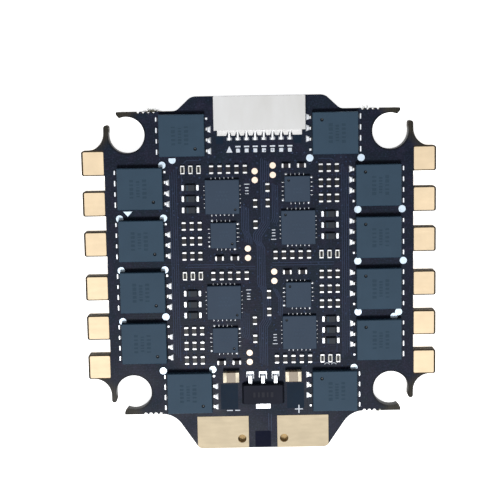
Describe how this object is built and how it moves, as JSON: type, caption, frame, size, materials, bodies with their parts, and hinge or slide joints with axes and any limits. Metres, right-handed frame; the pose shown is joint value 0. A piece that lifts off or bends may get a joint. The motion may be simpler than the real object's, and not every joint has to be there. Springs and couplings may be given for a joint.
{
  "type": "electronic speed controller board",
  "caption": "Flat quadcopter speed controller board with open corner mounting holes, side tabs for motor wires, battery pads, power transistors and a signal connector.",
  "frame": {"origin": "centre of the square of four mounting holes, on the underside face of the laminate", "axes": "+Z out of the face that carries the connector, +Y towards the connector edge, +X to the right of it"},
  "size_m": [0.041, 0.0417, 0.0056],
  "materials": {
    "circuit_board": "satin",
    "plated_pad": "satin",
    "solder": "gloss",
    "power_package": "matte",
    "chip_package": "matte",
    "connector_nylon": "satin",
    "connector_metal": "gloss",
    "capacitor_ceramic": "satin",
    "resistor_coat": "gloss",
    "diode_package": "matte"
  },
  "bodies": {
    "root": {"circuit_board": "circuit_board", "motor_pads_front_left": "plated_pad", "motor_pads_front_right": "plated_pad", "motor_pads_rear_left": "plated_pad", "motor_pads_rear_right": "plated_pad", "battery_pad_negative": "plated_pad", "battery_pad_positive": "plated_pad", "test_pads": "plated_pad", "mosfet_top_1": "power_package", "mosfet_top_2": "power_package", "mosfet_top_3": "power_package", "mosfet_top_4": "power_package", "mosfet_top_5": "power_package", "mosfet_top_6": "power_package", "mosfet_top_7": "power_package", "mosfet_top_8": "power_package", "mosfet_top_9": "power_package", "mosfet_top_10": "power_package", "mosfet_top_11": "power_package", "mosfet_top_12": "power_package", "mosfet_under_1": "power_package", "mosfet_under_2": "power_package", "mosfet_under_3": "power_package", "mosfet_under_4": "power_package", "mosfet_under_5": "power_package", "mosfet_under_6": "power_package", "mosfet_under_7": "power_package", "mosfet_under_8": "power_package", "mosfet_under_9": "power_package", "mosfet_under_10": "power_package", "mosfet_under_11": "power_package", "mosfet_under_12": "power_package", "mosfet_leads_top": "solder", "mosfet_leads_under": "solder", "gate_driver_terminals": "solder", "microcontroller_terminals": "solder", "regulator_leads": "solder", "large_capacitor_ends": "solder", "bootstrap_diode_leads": "solder", "small_chip_ends": "solder", "solder_dots": "solder", "current_shunt_ends": "solder", "gate_driver_1": "chip_package", "gate_driver_2": "chip_package", "gate_driver_3": "chip_package", "gate_driver_4": "chip_package", "microcontroller_1": "chip_package", "microcontroller_2": "chip_package", "microcontroller_3": "chip_package", "microcontroller_4": "chip_package", "connector_housing": "connector_nylon", "connector_contacts": "connector_metal", "connector_hold_downs": "connector_metal", "regulator_body": "diode_package", "bootstrap_diodes": "diode_package", "large_capacitors": "capacitor_ceramic", "small_capacitors": "capacitor_ceramic", "small_resistors": "resistor_coat", "current_shunt": "resistor_coat"}
  },
  "joints": []
}
